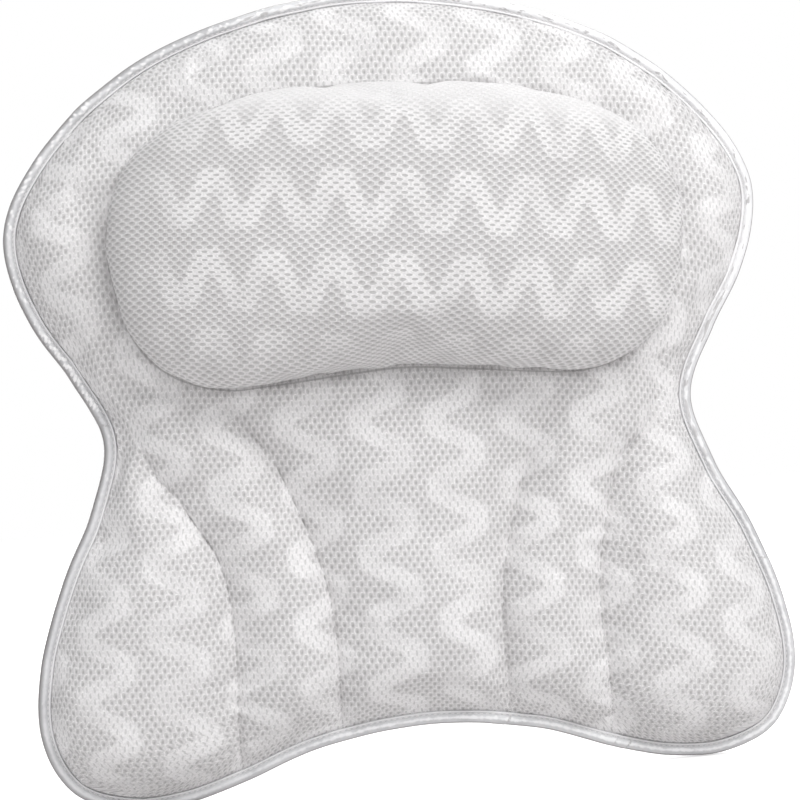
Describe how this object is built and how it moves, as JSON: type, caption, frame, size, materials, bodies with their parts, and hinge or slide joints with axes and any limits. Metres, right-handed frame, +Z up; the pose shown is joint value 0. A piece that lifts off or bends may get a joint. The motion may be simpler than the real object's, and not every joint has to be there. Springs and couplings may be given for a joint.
{
  "type": "bath pillow",
  "caption": "Butterfly-shaped bath pillow of white air mesh with sewn channels, a stuffed kidney-shaped headrest, a satin-bound edge and suction cups on its back.",
  "frame": {"origin": "in the plane of the suction cups' rims, at the middle of the pad's width and height, where the tub wall lies", "axes": "+X across the shoulders to the pillow's right as the picture shows it, +Y into the tub wall, so that the soft face looks to -Y, +Z up towards the crown of the head"},
  "size_m": [0.4094, 0.0924, 0.4283],
  "materials": {
    "mesh_fabric": "matte",
    "headrest_fabric": "matte",
    "backing_fabric": "matte",
    "satin_tape": "satin",
    "fibre_fill": "matte",
    "foam": "matte",
    "clear_pvc": "gloss",
    "eyelet_plastic": "satin"
  },
  "bodies": {
    "pillow": {"front_panel": "mesh_fabric", "back_panel": "backing_fabric", "edge_binding": "satin_tape", "headrest_cover": "headrest_fabric", "headrest_core": "foam", "channel_fill_outer_left": "fibre_fill", "channel_fill_inner_left": "fibre_fill", "channel_fill_centre": "fibre_fill", "channel_fill_inner_right": "fibre_fill", "channel_fill_outer_right": "fibre_fill", "shoulder_fill": "fibre_fill", "eyelet_upper_left": "eyelet_plastic", "eyelet_upper_right": "eyelet_plastic", "eyelet_middle_left": "eyelet_plastic", "eyelet_middle_right": "eyelet_plastic", "eyelet_lower_left": "eyelet_plastic", "eyelet_lower_right": "eyelet_plastic", "eyelet_washer_upper_left": "eyelet_plastic", "eyelet_washer_upper_right": "eyelet_plastic", "eyelet_washer_middle_left": "eyelet_plastic", "eyelet_washer_middle_right": "eyelet_plastic", "eyelet_washer_lower_left": "eyelet_plastic", "eyelet_washer_lower_right": "eyelet_plastic"},
    "cup_upper_left": {"suction_cup_upper_left": "clear_pvc"},
    "cup_upper_right": {"suction_cup_upper_right": "clear_pvc"},
    "cup_middle_left": {"suction_cup_middle_left": "clear_pvc"},
    "cup_middle_right": {"suction_cup_middle_right": "clear_pvc"},
    "cup_lower_left": {"suction_cup_lower_left": "clear_pvc"},
    "cup_lower_right": {"suction_cup_lower_right": "clear_pvc"}
  },
  "joints": [
    {"name": "cup_spin_upper_left", "type": "hinge", "parent": "pillow", "child": "cup_upper_left", "pos_m": [-0.123, 0, 0.12198], "axis": [0, 1, 0], "continuous": true},
    {"name": "cup_spin_upper_right", "type": "hinge", "parent": "pillow", "child": "cup_upper_right", "pos_m": [0.123, 0, 0.12198], "axis": [0, 1, 0], "continuous": true},
    {"name": "cup_spin_middle_left", "type": "hinge", "parent": "pillow", "child": "cup_middle_left", "pos_m": [-0.10045, 0, 0.03424], "axis": [0, 1, 0], "continuous": true},
    {"name": "cup_spin_middle_right", "type": "hinge", "parent": "pillow", "child": "cup_middle_right", "pos_m": [0.10045, 0, 0.03424], "axis": [0, 1, 0], "continuous": true},
    {"name": "cup_spin_lower_left", "type": "hinge", "parent": "pillow", "child": "cup_lower_left", "pos_m": [-0.1476, 0, -0.15194], "axis": [0, 1, 0], "continuous": true},
    {"name": "cup_spin_lower_right", "type": "hinge", "parent": "pillow", "child": "cup_lower_right", "pos_m": [0.1476, 0, -0.15194], "axis": [0, 1, 0], "continuous": true}
  ]
}
